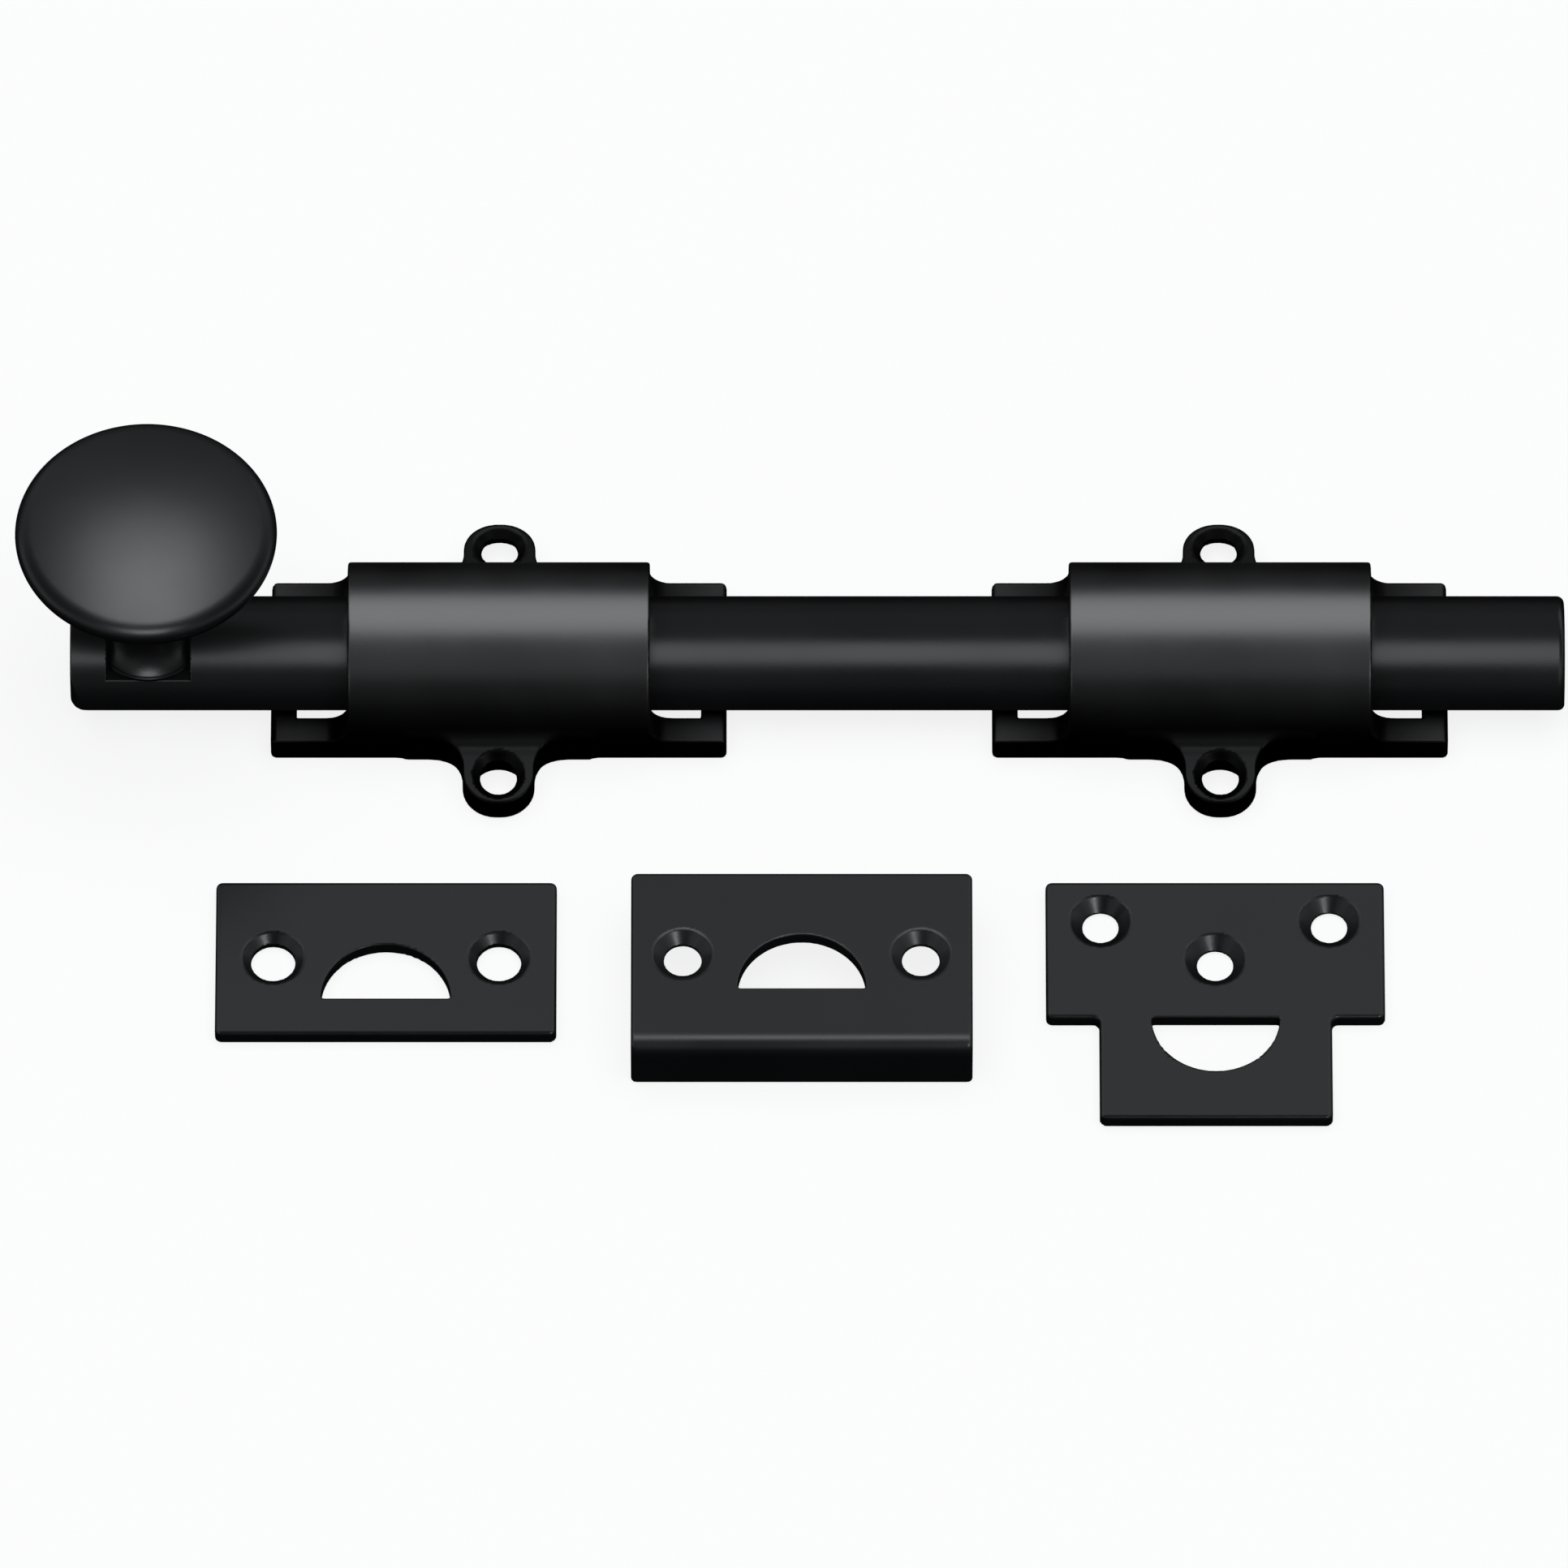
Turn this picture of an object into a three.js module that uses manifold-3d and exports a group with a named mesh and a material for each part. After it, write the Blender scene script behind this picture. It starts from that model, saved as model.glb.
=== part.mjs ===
// Half-round surface bolt with two guides and three loose strikes.
//
// Millimetres. +X is the way the bolt is thrown, +Y is up the door and +Z points out of the door.
// Z = 0 is the face that everything is screwed to, Y = 0 is the bolt's centreline, and X = 0 is the
// middle of the end pad of the front guide.
//
// The bar, its knob, the knob's screw and the stop pin slide along X as one body.

import * as THREE from "three";
import { mergeVertices } from "three/addons/utils/BufferGeometryUtils.js";
import Module from "manifold-3d";

const wasm = await Module();
wasm.setup();

// ---------- Driving dimensions ----------

const CLEARANCE = 0.3; // between two pieces that touch on the real bolt
const PAST = 1; // how far a cutter runs past the face that it cuts
const CORNER_STEPS = 6; // straight steps in each arc of an outline with rounded corners
const HALF_ROUND_STEPS = 22; // straight steps in a half circle
const ROUND_STEPS = 40; // straight steps round a turned piece
const HOLE_STEPS = 20; // straight steps round a screw hole

const BAR = {
  length: 203.2,
  radius: 8.58,
  backZ: 4.6, // the flat back, through the centre of the half round
  tipX: 17.55, // the end that enters the strike
  tipChamfer: 1.0,
  tailCorner: 2.3, // radius of the other end's two corners, seen from the front
};
BAR.tailX = BAR.tipX - BAR.length;

const GUIDE = {
  length: 62.0,
  halfWidth: 13.2,
  flange: 3.9, // thickness of the two end flanges
  tunnel: 41.1, // length of the raised middle
  bore: 9.1, // radius of the tunnel, and half the width of the open channel under it
  bridge: 3.5, // end pads that close the channel
  corner: 1.0,
  fillet: 3.0, // between a flange and the tunnel's end
  frontX: -29.3,
  rearX: -127.4,
};

const LUG = {
  tipY: 23.0,
  halfWidth: 4.9,
  corner: 4.6,
  flare: 5.0, // fillet between the lug's sides and the guide
  wallFillet: 1.8, // between the lug's face and the tunnel
  screwY: 18.7,
  faceZ: 4.3, // height of the sloping face at the screw
  slope: THREE.MathUtils.degToRad(8),
  screw: { hole: 2.5, sink: 3.65 },
  recess: { radius: 3.5, depth: 2.3 }, // hollow in the lug's back, round the screw
};

const SADDLE = { width: 11.33, flatZ: 9.6, centreX: BAR.tailX + 10.65 };

const KNOB = {
  footRadius: 7.4,
  footEdge: 0.7, // height of the foot's straight edge
  footFlare: THREE.MathUtils.degToRad(34), // how steeply the neck leaves the foot
  footHalfWidth: 5.25, // to the flats that fit between the saddle's shoulders
  waistRadius: 4.4,
  waistZ: 16.2,
  throatZ: 31.6, // where the neck has opened out into the cap
  throatRadius: 12.5,
  rimRadius: 17.75,
  rimZ: 34.8,
  rimHalf: 1.9, // radius of the rounding under the rim
  rimWidth: 3.3, // how far the rounding over the rim reaches in
  rimTurn: THREE.MathUtils.degToRad(70), // where round the rim the dome takes over
  crownZ: 38.7,
  socketTop: 21.0, // top of the threaded hole for the knob's screw
};

const KNOB_SCREW = { head: 4.0, shank: 2.0, slot: 0.9, slotDepth: 0.8 };

const STOP_PIN = { radius: 1.6, x: -78.65, lowZ: 1.0, highZ: 9.6 };

const SPRING = { halfLength: 25.5, halfWidth: 5.2, thickness: 0.4, lowZ: 0.35, highZ: 4.25 };

const STRIKE_TOP_Y = -34.8; // the flat and tee strikes lie with their upper edges in line
const ANGLE_STRIKE_TOP_Y = -37.8; // the angle strike stands on its lip, a little nearer
const STRIKE_CORNER = 0.9;
const FLAT_STRIKE = {
  centreX: -142.5,
  width: 46.2,
  height: 24.8,
  thickness: 2.2,
  hole: { radius: 8.75, belowTop: 19.0 },
  screw: { hole: 3.0, sink: 4.25 },
  screwX: 15.3,
  screwBelowTop: 12.4,
};
const ANGLE_STRIKE = {
  centreX: -86.2,
  width: 46.2,
  height: 28.5,
  thickness: 2.2,
  lip: 8.9,
  bend: 2.6, // outer radius of the bend
  hole: { radius: 8.66, belowTop: 18.8 },
  screw: { hole: 2.55, sink: 4.1 },
  screwX: 16.1,
  screwBelowTop: 13.3,
};
const TEE_STRIKE = {
  centreX: -30.2,
  width: 45.9,
  headHeight: 22.1,
  stemWidth: 31.5,
  height: 38.4,
  thickness: 2.2,
  holeRadius: 8.66,
  screw: { hole: 2.45, sink: 4.2 },
  screws: [
    [-15.5, 6.4], // distance from the middle, distance below the upper edge
    [0, 12.6],
    [15.5, 6.4],
  ],
};

const BLACK = { color: 0x1a1b1d, roughness: 0.45, metalness: 0.35 };
const STEEL = { color: 0x8a8d90, roughness: 0.35, metalness: 1.0 };

// ---------- Solids ----------

/** A closed three.js geometry as a manifold-3d solid. */
function solidOf(geometry) {
  const bare = geometry.clone();
  bare.deleteAttribute("normal");
  bare.deleteAttribute("uv");
  const merged = mergeVertices(bare, 1e-4);
  const mesh = new wasm.Mesh({
    numProp: 3,
    vertProperties: merged.attributes.position.array,
    triVerts: new Uint32Array(merged.index.array),
  });
  return new wasm.Manifold(mesh);
}

/** A manifold-3d solid as a three.js geometry. */
function geometryOf(solid) {
  const mesh = solid.getMesh();
  const geometry = new THREE.BufferGeometry();
  geometry.setAttribute("position", new THREE.BufferAttribute(mesh.vertProperties, 3));
  geometry.setIndex(new THREE.BufferAttribute(mesh.triVerts, 1));
  geometry.computeVertexNormals();
  return geometry;
}

const add = (...solids) => solids.reduce((whole, next) => whole.add(next));

const cut = (whole, ...cutters) => cutters.reduce((left, next) => left.subtract(next), whole);

/** An outline drawn in (X, Y), as a plate from z = low to z = high. */
function slab(outline, low, high, steps = CORNER_STEPS) {
  const options = { depth: high - low, bevelEnabled: false, curveSegments: steps };
  return new THREE.ExtrudeGeometry(outline, options).translate(0, 0, low);
}

/** A section drawn in (Y, Z), drawn out along X. */
function alongX(section, low, high, steps = CORNER_STEPS) {
  const turn = new THREE.Matrix4().set(0, 0, 1, 0, 1, 0, 0, 0, 0, 1, 0, 0, 0, 0, 0, 1);
  return solidOf(slab(section, low, high, steps).applyMatrix4(turn));
}

/** A section drawn in (X, Z), drawn out evenly on both sides of Y = 0. */
function alongY(section, halfWidth, steps = CORNER_STEPS) {
  return solidOf(slab(section, -halfWidth, halfWidth, steps).rotateX(Math.PI / 2));
}

/** A profile of [radius, height] points, from the bottom up, turned about Z. */
function turned(profile, steps = ROUND_STEPS) {
  const points = profile.map(([radius, height]) => new THREE.Vector2(radius, height));
  return new THREE.LatheGeometry(points, steps).rotateX(Math.PI / 2);
}

function box(low, high) {
  const size = high.map((value, i) => value - low[i]);
  const middle = high.map((value, i) => (value + low[i]) / 2);
  return solidOf(new THREE.BoxGeometry(...size).translate(...middle));
}

/** Cuts a countersunk hole whose mouth is at the origin and faces +Z. */
function screwHole({ hole, sink }) {
  const depth = 12;
  const profile = [
    [0, -depth],
    [hole, -depth],
    [hole, hole - sink],
    [sink, 0],
    [sink, 3 * PAST],
    [0, 3 * PAST],
  ];
  return turned(profile, HOLE_STEPS);
}

function roundedRectangle(left, bottom, right, top, radius) {
  const outline = new THREE.Shape();
  outline.moveTo(left + radius, bottom);
  outline.absarc(right - radius, bottom + radius, radius, -Math.PI / 2, 0, false);
  outline.absarc(right - radius, top - radius, radius, 0, Math.PI / 2, false);
  outline.absarc(left + radius, top - radius, radius, Math.PI / 2, Math.PI, false);
  outline.absarc(left + radius, bottom + radius, radius, Math.PI, Math.PI * 1.5, false);
  return outline;
}

/** Cuts the half-round hole that a strike has for the bar, with its arc above or below its flat edge. */
function halfRoundHole(flatY, radius, arcAbove) {
  const outline = new THREE.Shape();
  outline.absarc(0, flatY, radius, arcAbove ? 0 : Math.PI, arcAbove ? Math.PI : 2 * Math.PI, false);
  const reach = BAR.radius + BAR.backZ;
  return solidOf(slab(outline, -reach, reach, HALF_ROUND_STEPS));
}

// ---------- Guides ----------

/** The guide's section, upright sides closed over by a half circle, drawn out along X. */
function arch(radius, bottomZ, low, high) {
  const section = new THREE.Shape();
  section.moveTo(-radius, bottomZ);
  section.lineTo(radius, bottomZ);
  section.absarc(0, BAR.backZ, radius, 0, Math.PI, false);
  return alongX(section, low, high, HALF_ROUND_STEPS);
}

function endFillet() {
  const start = GUIDE.tunnel / 2;
  const section = new THREE.Shape();
  section.moveTo(start - PAST, PAST);
  section.lineTo(start + GUIDE.fillet, PAST);
  section.absarc(
    start + GUIDE.fillet,
    GUIDE.flange + GUIDE.fillet,
    GUIDE.fillet,
    -Math.PI / 2,
    -Math.PI,
    true,
  );
  section.lineTo(start - PAST, GUIDE.flange + GUIDE.fillet);
  const envelope = arch(GUIDE.halfWidth, 0, 0, GUIDE.length / 2);
  return alongY(section, GUIDE.halfWidth).intersect(envelope);
}

function lugOutline() {
  const { tipY, halfWidth, corner, flare } = LUG;
  const rootY = GUIDE.halfWidth;
  const outer = halfWidth + flare;
  const outline = new THREE.Shape();
  outline.moveTo(-outer, rootY - 2 * PAST);
  outline.lineTo(outer, rootY - 2 * PAST);
  outline.absarc(outer, rootY + flare, flare, -Math.PI / 2, -Math.PI, true);
  outline.absarc(halfWidth - corner, tipY - corner, corner, 0, Math.PI / 2, false);
  outline.absarc(corner - halfWidth, tipY - corner, corner, Math.PI / 2, Math.PI, false);
  outline.absarc(-outer, rootY + flare, flare, 0, -Math.PI / 2, true);
  return outline;
}

/** The lug's side view in (Y, Z): a face that falls outwards, filleted into the tunnel's wall. */
function lugSection() {
  const faceZ = (y) => LUG.faceZ - (y - LUG.screwY) * Math.tan(LUG.slope);
  const filletY = GUIDE.halfWidth + LUG.wallFillet;
  const section = new THREE.Shape();
  section.moveTo(GUIDE.halfWidth - 2 * PAST, 0);
  section.lineTo(LUG.tipY + PAST, 0);
  section.lineTo(LUG.tipY + PAST, faceZ(LUG.tipY + PAST));
  section.absarc(
    filletY,
    faceZ(filletY) + LUG.wallFillet,
    LUG.wallFillet,
    -Math.PI / 2,
    -Math.PI,
    true,
  );
  section.lineTo(GUIDE.halfWidth - 2 * PAST, faceZ(filletY) + LUG.wallFillet);
  return section;
}

function guideGeometry() {
  const halfLength = GUIDE.length / 2;
  const halfTunnel = GUIDE.tunnel / 2;
  const channelEnd = halfLength - GUIDE.bridge;
  const base = roundedRectangle(
    -halfLength,
    -GUIDE.halfWidth,
    halfLength,
    GUIDE.halfWidth,
    GUIDE.corner,
  );
  const lugReach = LUG.halfWidth + LUG.flare + PAST;
  const lug = solidOf(slab(lugOutline(), 0, 3 * GUIDE.flange)).intersect(
    alongX(lugSection(), -lugReach, lugReach),
  );
  const hole = solidOf(
    screwHole(LUG.screw).rotateX(-LUG.slope).translate(0, LUG.screwY, LUG.faceZ),
  );
  const recess = solidOf(
    turned(
      [
        [0, -PAST],
        [LUG.recess.radius, -PAST],
        [LUG.recess.radius, LUG.recess.depth],
        [0, LUG.recess.depth],
      ],
      HOLE_STEPS,
    ).translate(0, LUG.screwY, 0),
  );
  const screwPath = hole.add(recess);
  const fillet = endFillet();
  const halfTurn = [0, 0, 180];
  const body = add(
    solidOf(slab(base, 0, GUIDE.flange)),
    arch(GUIDE.halfWidth, 0, -halfTunnel, halfTunnel),
    fillet,
    fillet.rotate(halfTurn),
    lug,
    lug.rotate(halfTurn),
  );
  const channel = arch(GUIDE.bore, -PAST, -channelEnd, channelEnd);
  return geometryOf(cut(body, channel, screwPath, screwPath.rotate(halfTurn)));
}

/** A bowed leaf that presses the bar forward, caught between the guide's two bridges. */
function springGeometry() {
  const { halfLength, thickness, lowZ, highZ } = SPRING;
  const rise = highZ - thickness - lowZ;
  const radius = (halfLength ** 2 + rise ** 2) / (2 * rise);
  const half = Math.asin(halfLength / radius);
  const section = new THREE.Shape();
  const centreZ = highZ - thickness - radius;
  section.absarc(0, centreZ, radius, Math.PI / 2 - half, Math.PI / 2 + half, false);
  section.absarc(0, centreZ, radius + thickness, Math.PI / 2 + half, Math.PI / 2 - half, true);
  return geometryOf(alongY(section, SPRING.halfWidth, HALF_ROUND_STEPS));
}

// ---------- Bolt ----------

function barGeometry() {
  const { radius, backZ, length, tailX, tipX, tipChamfer, tailCorner } = BAR;
  const profile = [
    [0, tailX],
    [radius, tailX],
    [radius, tipX - tipChamfer],
    [radius - tipChamfer, tipX],
    [0, tipX],
  ];
  const round = solidOf(turned(profile).rotateY(Math.PI / 2).translate(0, 0, backZ));

  const behind = box(
    [tailX - PAST, -radius - PAST, backZ - radius - PAST],
    [tailX + length + PAST, radius + PAST, backZ],
  );
  const saddle = box(
    [SADDLE.centreX - SADDLE.width / 2, -radius - PAST, SADDLE.flatZ],
    [SADDLE.centreX + SADDLE.width / 2, radius + PAST, backZ + radius + PAST],
  );
  const shank = KNOB_SCREW.shank + CLEARANCE;
  const sink = KNOB_SCREW.head + CLEARANCE;
  const screwPath = solidOf(
    screwHole({ hole: shank, sink }).rotateX(Math.PI).translate(SADDLE.centreX, 0, backZ),
  );
  const pinRadius = STOP_PIN.radius + CLEARANCE;
  const pinHole = solidOf(
    turned(
      [
        [0, backZ - PAST],
        [pinRadius, backZ - PAST],
        [pinRadius, STOP_PIN.highZ + CLEARANCE],
        [0, STOP_PIN.highZ + CLEARANCE],
      ],
      HOLE_STEPS,
    ).translate(STOP_PIN.x, 0, 0),
  );
  const outline = roundedRectangle(tailX, -radius, tipX + tailCorner, radius, tailCorner);
  const cornered = round.intersect(solidOf(slab(outline, 0, backZ + radius + PAST)));
  return geometryOf(cut(cornered, behind, saddle, screwPath, pinHole));
}

/** The knob's outline as [radius, z], from its foot up to its crown. */
function knobProfile() {
  const footZ = SADDLE.flatZ + CLEARANCE;
  const profile = [
    [0, footZ],
    [KNOB.footRadius, footZ],
  ];
  // The neck narrows from the flared foot to the waist, then opens out into the underside of the cap.
  const neckSteps = 6;
  const neckStart = footZ + KNOB.footEdge;
  const start = KNOB.footFlare;
  for (let i = 0; i <= neckSteps; i++) {
    const turn = start + (Math.PI / 2 - start) * (i / neckSteps);
    const inward = (Math.sin(turn) - Math.sin(start)) / (1 - Math.sin(start));
    const below = Math.cos(turn) / Math.cos(start);
    profile.push([
      KNOB.footRadius - (KNOB.footRadius - KNOB.waistRadius) * inward,
      KNOB.waistZ - (KNOB.waistZ - neckStart) * below,
    ]);
  }
  for (let i = 1; i <= neckSteps; i++) {
    const turn = (Math.PI / 2) * (i / neckSteps);
    profile.push([
      KNOB.throatRadius - (KNOB.throatRadius - KNOB.waistRadius) * Math.cos(turn),
      KNOB.waistZ + (KNOB.throatZ - KNOB.waistZ) * Math.sin(turn),
    ]);
  }
  // A quarter turn under the rim, out to its widest.
  const underSteps = 3;
  for (let i = 0; i <= underSteps; i++) {
    const turn = (Math.PI / 2) * (i / underSteps - 1);
    profile.push([
      KNOB.rimRadius - KNOB.rimHalf * (1 - Math.cos(turn)),
      KNOB.rimZ + KNOB.rimHalf * Math.sin(turn),
    ]);
  }
  // A wider rounding over the rim: the dome leaves it at the same slope and ends at the crown.
  const domeRadius = KNOB.rimRadius - KNOB.rimWidth * (1 - Math.cos(KNOB.rimTurn));
  const lift = domeRadius / (2 * KNOB.rimWidth * Math.tan(KNOB.rimTurn));
  const rounding = (KNOB.crownZ - KNOB.rimZ) / (Math.sin(KNOB.rimTurn) + lift);
  const overSteps = 5;
  for (let i = 1; i <= overSteps; i++) {
    const turn = KNOB.rimTurn * (i / overSteps);
    profile.push([
      KNOB.rimRadius - KNOB.rimWidth * (1 - Math.cos(turn)),
      KNOB.rimZ + rounding * Math.sin(turn),
    ]);
  }
  // The gently domed face.
  const domeSteps = 4;
  for (let i = 1; i <= domeSteps; i++) {
    const share = 1 - i / domeSteps;
    profile.push([domeRadius * share, KNOB.crownZ - rounding * lift * share ** 2]);
  }
  return profile;
}

/** The knob, standing on the saddle at X = 0. */
function knobGeometry() {
  const footZ = SADDLE.flatZ + CLEARANCE;
  const flats = [1, -1].map((side) => {
    const near = side * KNOB.footHalfWidth;
    const far = side * (KNOB.footRadius + PAST);
    return box(
      [Math.min(near, far), -KNOB.rimRadius, footZ - PAST],
      [Math.max(near, far), KNOB.rimRadius, KNOB.waistZ],
    );
  });
  const socket = solidOf(
    turned(
      [
        [0, footZ - PAST],
        [KNOB_SCREW.shank + CLEARANCE, footZ - PAST],
        [KNOB_SCREW.shank + CLEARANCE, KNOB.socketTop],
        [0, KNOB.socketTop],
      ],
      HOLE_STEPS,
    ),
  );
  return geometryOf(cut(solidOf(turned(knobProfile())), ...flats, socket));
}

/** The countersunk screw that holds the knob, put in from the bar's back at X = 0. */
function knobScrewGeometry() {
  const { head, shank, slot, slotDepth } = KNOB_SCREW;
  const headZ = BAR.backZ + CLEARANCE / 2;
  const coneZ = headZ + head - shank;
  const profile = [
    [0, headZ],
    [head - CLEARANCE / 2, headZ],
    [shank, coneZ],
    [shank, KNOB.socketTop - 2 * CLEARANCE],
    [0, KNOB.socketTop - 2 * CLEARANCE],
  ];
  const drive = box([-head, -slot / 2, headZ - PAST], [head, slot / 2, headZ + slotDepth]);
  return geometryOf(cut(solidOf(turned(profile, HOLE_STEPS)), drive));
}

function stopPinGeometry() {
  const { radius, lowZ, highZ } = STOP_PIN;
  const chamfer = CLEARANCE;
  return turned(
    [
      [0, lowZ],
      [radius - chamfer, lowZ],
      [radius, lowZ + chamfer],
      [radius, highZ],
      [0, highZ],
    ],
    HOLE_STEPS,
  );
}

// ---------- Strikes ----------

/** Cuts the bar's hole and the screw holes into a plate with its upper edge on Y = 0. */
function pierced(plate, barHole, screws, screw, faceZ) {
  const holes = screws.map(([x, belowTop]) =>
    solidOf(screwHole(screw).translate(x, -belowTop, faceZ)),
  );
  return geometryOf(cut(plate, barHole, ...holes));
}

const pairOfScrews = (strike) => [
  [-strike.screwX, strike.screwBelowTop],
  [strike.screwX, strike.screwBelowTop],
];

function flatStrikeGeometry() {
  const { width, height, thickness, hole, screw } = FLAT_STRIKE;
  const outline = roundedRectangle(-width / 2, -height, width / 2, 0, STRIKE_CORNER);
  const plate = solidOf(slab(outline, 0, thickness));
  const barHole = halfRoundHole(-hole.belowTop, hole.radius, true);
  return pierced(plate, barHole, pairOfScrews(FLAT_STRIKE), screw, thickness);
}

/** A plate with its lower edge bent back: it stands level on that lip. */
function angleStrikeGeometry() {
  const { width, height, thickness, lip, bend, hole, screw } = ANGLE_STRIKE;
  const inner = bend - thickness;
  const section = new THREE.Shape();
  section.moveTo(0, lip);
  section.absarc(bend - height, lip - bend, bend, Math.PI / 2, Math.PI, false);
  section.lineTo(-height, 0);
  section.lineTo(thickness - height, 0);
  section.absarc(bend - height, lip - bend, inner, Math.PI, Math.PI / 2, true);
  section.lineTo(0, lip - thickness);
  const outline = roundedRectangle(-width / 2, -height, width / 2, 0, STRIKE_CORNER);
  const column = solidOf(slab(outline, -PAST, lip + PAST));
  const plate = alongX(section, -width / 2, width / 2).intersect(column);
  const barHole = halfRoundHole(-hole.belowTop, hole.radius, true);
  return pierced(plate, barHole, pairOfScrews(ANGLE_STRIKE), screw, lip);
}

function teeOutline() {
  const { width, headHeight, stemWidth, height } = TEE_STRIKE;
  const r = STRIKE_CORNER;
  const quarter = Math.PI / 2;
  const head = width / 2;
  const stem = stemWidth / 2;
  const outline = new THREE.Shape();
  outline.moveTo(-stem + r, -height);
  outline.absarc(stem - r, -height + r, r, -quarter, 0, false);
  outline.absarc(stem + r, -headHeight - r, r, 2 * quarter, quarter, true);
  outline.absarc(head - r, -headHeight + r, r, -quarter, 0, false);
  outline.absarc(head - r, -r, r, 0, quarter, false);
  outline.absarc(-head + r, -r, r, quarter, 2 * quarter, false);
  outline.absarc(-head + r, -headHeight + r, r, 2 * quarter, 3 * quarter, false);
  outline.absarc(-stem - r, -headHeight - r, r, quarter, 0, true);
  outline.absarc(-stem + r, -height + r, r, 2 * quarter, 3 * quarter, false);
  return outline;
}

function teeStrikeGeometry() {
  const { headHeight, thickness, holeRadius, screw, screws } = TEE_STRIKE;
  const plate = solidOf(slab(teeOutline(), 0, thickness));
  const barHole = halfRoundHole(-headHeight, holeRadius, false);
  return pierced(plate, barHole, screws, screw, thickness);
}

// ---------- Assembly ----------

function piece(name, geometry, finish, x = 0, y = 0) {
  const mesh = new THREE.Mesh(geometry, new THREE.MeshStandardMaterial(finish));
  mesh.name = name;
  mesh.position.set(x, y, 0);
  return mesh;
}

const bolt = new THREE.Group();
bolt.add(
  piece("bolt_bar", barGeometry(), BLACK),
  piece("knob", knobGeometry(), BLACK, SADDLE.centreX),
  piece("knob_screw", knobScrewGeometry(), STEEL, SADDLE.centreX),
  piece("stop_pin", stopPinGeometry(), STEEL, STOP_PIN.x),
);

const guides = new THREE.Group();
for (const [place, x] of [
  ["front", GUIDE.frontX],
  ["rear", GUIDE.rearX],
]) {
  guides.add(
    piece(`${place}_guide`, guideGeometry(), BLACK, x),
    piece(`${place}_spring`, springGeometry(), STEEL, x),
  );
}

const strikes = new THREE.Group();
strikes.add(
  piece("flat_strike", flatStrikeGeometry(), BLACK, FLAT_STRIKE.centreX, STRIKE_TOP_Y),
  piece("angle_strike", angleStrikeGeometry(), BLACK, ANGLE_STRIKE.centreX, ANGLE_STRIKE_TOP_Y),
  piece("tee_strike", teeStrikeGeometry(), BLACK, TEE_STRIKE.centreX, STRIKE_TOP_Y),
);

const surfaceBolt = new THREE.Group();
surfaceBolt.add(bolt, guides, strikes);

export default surfaceBolt;
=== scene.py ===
"""Looks of a half-round surface bolt in satin black, lying over its three loose strikes.

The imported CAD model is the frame. Each black piece is rebuilt here as a fine mesh, from a signed distance
that rounds its edges and fillets its corners as the real casting, turning or pressing does. Distances
inside the shape functions are in millimetres, and everything that Blender holds is in metres.
"""

import math

import bpy
import numpy as np
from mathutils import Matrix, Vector


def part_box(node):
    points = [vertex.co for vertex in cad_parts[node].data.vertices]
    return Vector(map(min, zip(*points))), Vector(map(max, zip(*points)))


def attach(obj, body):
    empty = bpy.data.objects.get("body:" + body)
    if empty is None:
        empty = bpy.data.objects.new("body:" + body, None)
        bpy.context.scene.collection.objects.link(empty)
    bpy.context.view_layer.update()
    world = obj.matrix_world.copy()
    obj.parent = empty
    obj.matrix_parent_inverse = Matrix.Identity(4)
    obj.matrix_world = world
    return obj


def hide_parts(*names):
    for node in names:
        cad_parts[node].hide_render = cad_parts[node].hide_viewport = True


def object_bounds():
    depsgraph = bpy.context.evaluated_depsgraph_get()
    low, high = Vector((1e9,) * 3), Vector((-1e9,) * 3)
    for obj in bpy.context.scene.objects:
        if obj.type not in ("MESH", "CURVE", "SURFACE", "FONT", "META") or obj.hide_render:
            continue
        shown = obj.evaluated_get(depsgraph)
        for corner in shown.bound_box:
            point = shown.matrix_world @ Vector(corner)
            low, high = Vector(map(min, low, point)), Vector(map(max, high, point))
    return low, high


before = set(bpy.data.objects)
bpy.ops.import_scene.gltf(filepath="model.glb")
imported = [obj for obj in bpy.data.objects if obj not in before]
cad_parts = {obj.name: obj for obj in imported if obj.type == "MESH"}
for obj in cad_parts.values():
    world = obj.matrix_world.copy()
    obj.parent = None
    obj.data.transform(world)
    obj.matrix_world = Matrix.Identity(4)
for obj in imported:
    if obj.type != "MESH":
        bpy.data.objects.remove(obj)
cad_low, cad_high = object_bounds()
MM = 0.001

# ---------- Sizes, in millimetres ----------


def node_box(node):
    """Lowest and highest corner of a CAD node, in millimetres."""
    low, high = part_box(node)
    return np.array(low) / MM, np.array(high) / MM


BAR_LOW, BAR_HIGH = node_box("bolt_bar")
BAR_RADIUS = (BAR_HIGH[1] - BAR_LOW[1]) / 2
BAR_BACK = BAR_LOW[2]  # height of the bar's flat back, on which every half circle is centred

GUIDE_LOW, GUIDE_HIGH = node_box("front_guide")
GUIDE_HALF_LENGTH = (GUIDE_HIGH[0] - GUIDE_LOW[0]) / 2
TUNNEL_RADIUS = GUIDE_HIGH[2] - BAR_BACK
TUNNEL_HALF = 20.55
BORE_RADIUS = 9.1
CHANNEL_HALF = GUIDE_HALF_LENGTH - 3.5
FLANGE_TOP = 3.9
END_FILLET = 3.0
LUG_TIP = GUIDE_HIGH[1]
LUG_HALF_WIDTH = 4.9
LUG_CORNER = 4.6
LUG_FLARE = 5.0  # fillet between the lug's sides and the guide
LUG_WALL_FILLET = 1.8
LUG_SCREW_Y = 18.7
LUG_FACE = 4.3
LUG_SLOPE = math.radians(8)
LUG_SCREW = (2.5, 3.65)  # radius of the hole, radius of the countersink's mouth
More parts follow.
